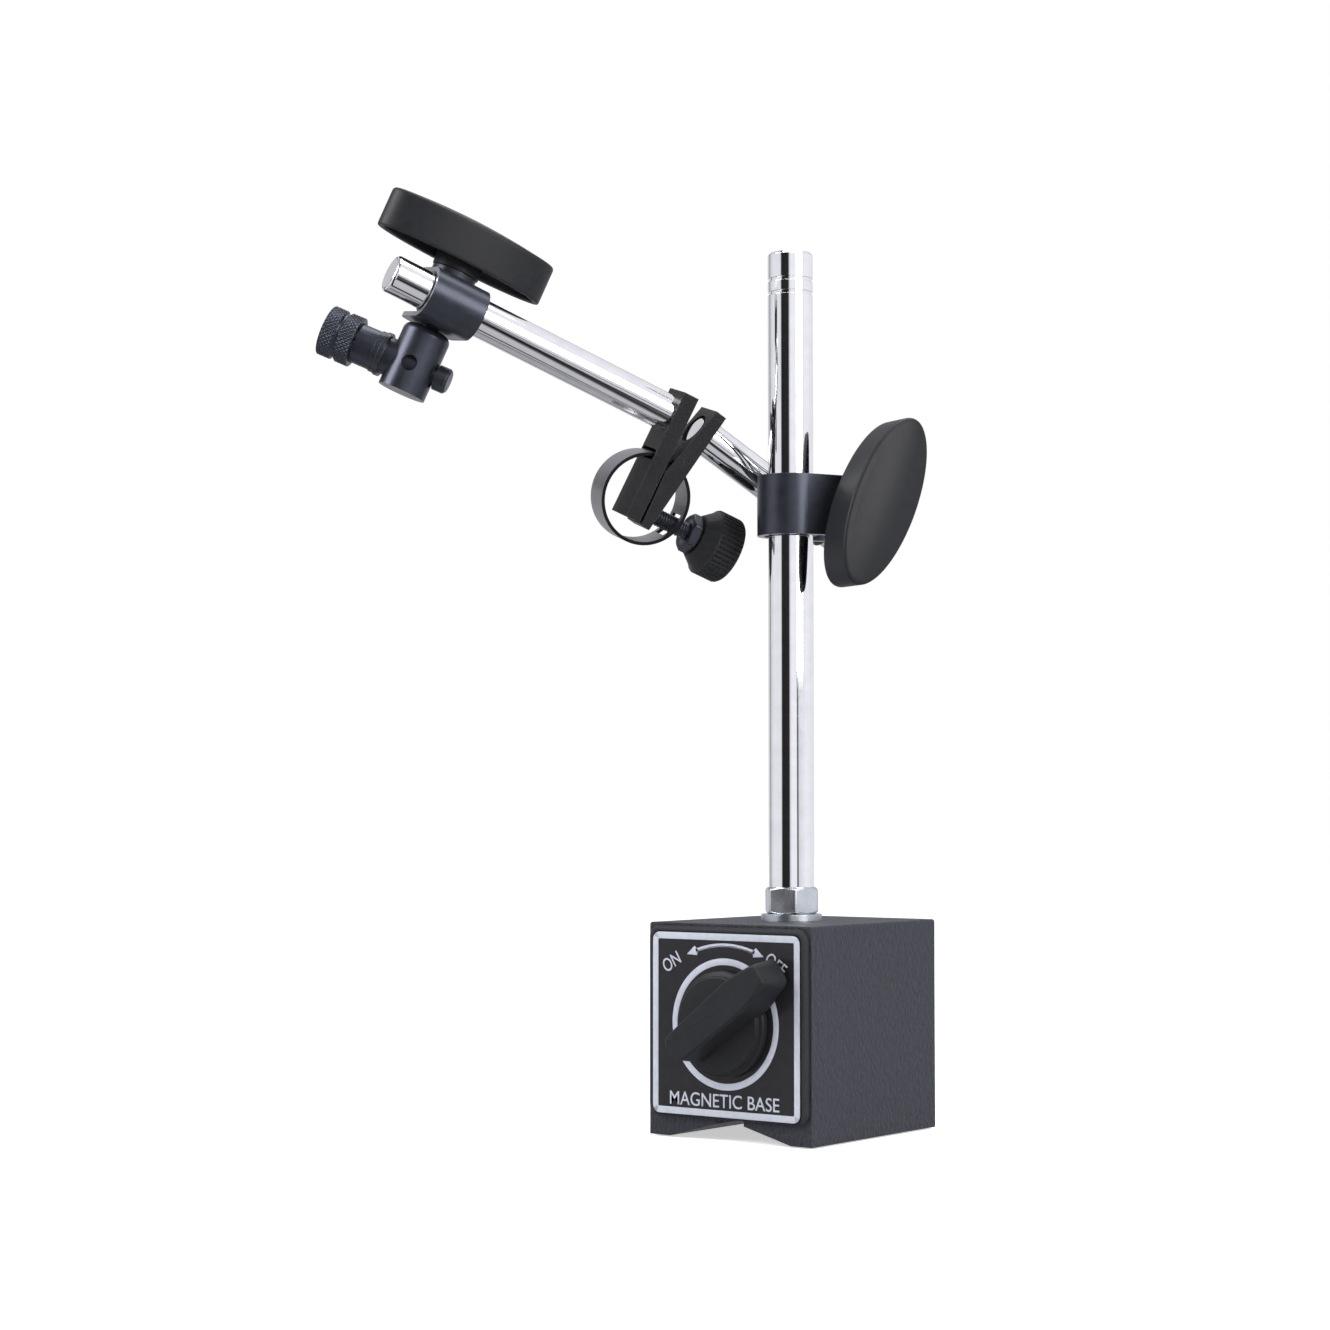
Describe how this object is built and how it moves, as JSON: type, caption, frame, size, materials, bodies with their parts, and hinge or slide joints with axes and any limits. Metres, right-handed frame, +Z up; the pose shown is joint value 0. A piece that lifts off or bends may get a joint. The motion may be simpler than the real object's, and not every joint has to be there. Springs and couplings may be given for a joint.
{
  "type": "dial gauge stand",
  "caption": "Magnetic base with switch knob, column, two-part fine-adjust arm and swivelling clamp that holds a dial gauge by its stem.",
  "frame": {"origin": "centre of the magnetic base's bottom face, under the column's axis", "axes": "+Z up along the column, -Y out of the face with the switch knob, +X to the right seen from that face"},
  "size_m": [0.1255, 0.1232, 0.2446],
  "materials": {
    "base_paint": "wrinkled",
    "spacer_brass": "ground",
    "label_plastic": "gloss",
    "plate_print": "printed",
    "screw_steel": "satin",
    "cover_plastic": "matte",
    "magnet_ferrite": "matte",
    "shaft_steel": "satin",
    "switch_plastic": "matte",
    "chrome_plate": "polished",
    "zinc_plate": "bright",
    "blackened_steel": "satin",
    "liner_bronze": "satin",
    "knob_plastic": "matte",
    "insert_brass": "machined",
    "bar_paint": "gloss",
    "spring_steel": "satin",
    "thumb_plastic": "satin"
  },
  "bodies": {
    "base": {"pole_block_left": "base_paint", "pole_block_right": "base_paint", "pole_spacer": "spacer_brass", "label_bezel": "label_plastic", "label_plate": "plate_print", "bezel_screws": "screw_steel", "rear_cover": "cover_plastic", "front_bush": "liner_bronze", "detent_ball": "shaft_steel", "detent_spring": "spring_steel", "column": "chrome_plate", "column_nut": "zinc_plate", "column_washer": "zinc_plate"},
    "switch": {"switch_knob": "switch_plastic", "rotor_shaft": "shaft_steel", "rotor_magnet": "magnet_ferrite"},
    "column_slider": {"column_liner": "liner_bronze"},
    "column_clamp": {"column_strap": "blackened_steel"},
    "eye_bolt": {"column_eye_bolt": "blackened_steel"},
    "column_knob": {"column_knob": "knob_plastic", "column_knob_insert": "insert_brass", "column_knob_spacer": "blackened_steel"},
    "arm_bush": {"eye_bush": "liner_bronze"},
    "rear_arm": {"rear_rod": "chrome_plate", "rear_bar": "bar_paint", "band_hoop": "spring_steel", "hoop_pin": "shaft_steel"},
    "front_arm": {"front_bar": "bar_paint", "front_rod": "chrome_plate"},
    "thumbscrew": {"fine_screw": "shaft_steel", "fine_lock_nut": "blackened_steel", "fine_knob": "thumb_plastic"},
    "arm_slider": {"arm_liner": "liner_bronze"},
    "arm_clamp": {"arm_strap": "blackened_steel"},
    "holder": {"arm_bolt": "shaft_steel", "holder_barrel": "blackened_steel", "stem_collet": "blackened_steel", "collet_tail_nut": "blackened_steel"},
    "arm_knob": {"arm_knob": "knob_plastic", "arm_knob_insert": "insert_brass", "arm_knob_washer": "blackened_steel"},
    "clamp_nut": {"knurled_nut": "blackened_steel", "collet_washers": "blackened_steel"}
  },
  "joints": [
    {"name": "switch_turn", "type": "hinge", "parent": "base", "child": "switch", "pos_m": [0, 0, 0.0296], "axis": [0, -1, 0], "range_deg": [0, 90]},
    {"name": "clamp_height", "type": "slide", "parent": "base", "child": "column_slider", "axis": [0, 0, 1], "range_m": [-0.07, 0.055]},
    {"name": "clamp_swing", "type": "hinge", "parent": "column_slider", "child": "column_clamp", "pos_m": [0, 0, 0.1646], "axis": [0, 0, 1], "range_deg": [-180, 180]},
    {"name": "arm_pitch", "type": "hinge", "parent": "column_clamp", "child": "eye_bolt", "pos_m": [0.00601, 0.01319, 0.1646], "axis": [0.91, -0.4147, 0], "range_deg": [-20, 40]},
    {"name": "column_knob_turn", "type": "hinge", "parent": "eye_bolt", "child": "column_knob", "pos_m": [0.00601, 0.01319, 0.1646], "axis": [0.91, -0.4147, 0], "range_deg": [-180, 180]},
    {"name": "arm_roll", "type": "hinge", "parent": "eye_bolt", "child": "arm_bush", "pos_m": [-0.008, 0.01958, 0.1646], "axis": [-0.3555, -0.78, 0.515], "range_deg": [-12, 10]},
    {"name": "arm_reach", "type": "slide", "parent": "arm_bush", "child": "rear_arm", "axis": [-0.3555, -0.78, 0.515], "range_m": [-0.008, 0.008]},
    {"name": "fine_flex", "type": "hinge", "parent": "rear_arm", "child": "front_arm", "pos_m": [-0.02997, -0.01899, 0.1749], "axis": [0.8158, -0.5278, -0.2363], "range_deg": [-2.5, 2.5]},
    {"name": "fine_screw_turn", "type": "hinge", "parent": "front_arm", "child": "thumbscrew", "pos_m": [-0.03451, -0.02134, 0.16449], "axis": [-0.4259, -0.8248, 0.372], "range_deg": [-360, 360]},
    {"name": "holder_slide", "type": "slide", "parent": "front_arm", "child": "arm_slider", "axis": [-0.4259, -0.8248, 0.372], "range_m": [-0.024, 0.008]},
    {"name": "holder_roll", "type": "hinge", "parent": "arm_slider", "child": "arm_clamp", "pos_m": [-0.05436, -0.07428, 0.21418], "axis": [-0.4259, -0.8248, 0.372], "range_deg": [-45, 45]},
    {"name": "holder_swivel", "type": "hinge", "parent": "arm_clamp", "child": "holder", "pos_m": [-0.06241, -0.06945, 0.21567], "axis": [0.3186, 0.2481, 0.9148], "range_deg": [-180, 180]},
    {"name": "arm_knob_turn", "type": "hinge", "parent": "holder", "child": "arm_knob", "pos_m": [-0.06241, -0.06945, 0.21567], "axis": [0.3186, 0.2481, 0.9148], "range_deg": [-180, 180]},
    {"name": "stem_nut_turn", "type": "hinge", "parent": "holder", "child": "clamp_nut", "pos_m": [-0.06814, -0.07392, 0.19921], "axis": [-0.7639, -0.5042, 0.4028], "range_deg": [-180, 180]}
  ],
  "couplings": [
    {"joint": "fine_screw_turn", "follows": "fine_flex", "ratio": 144}
  ]
}
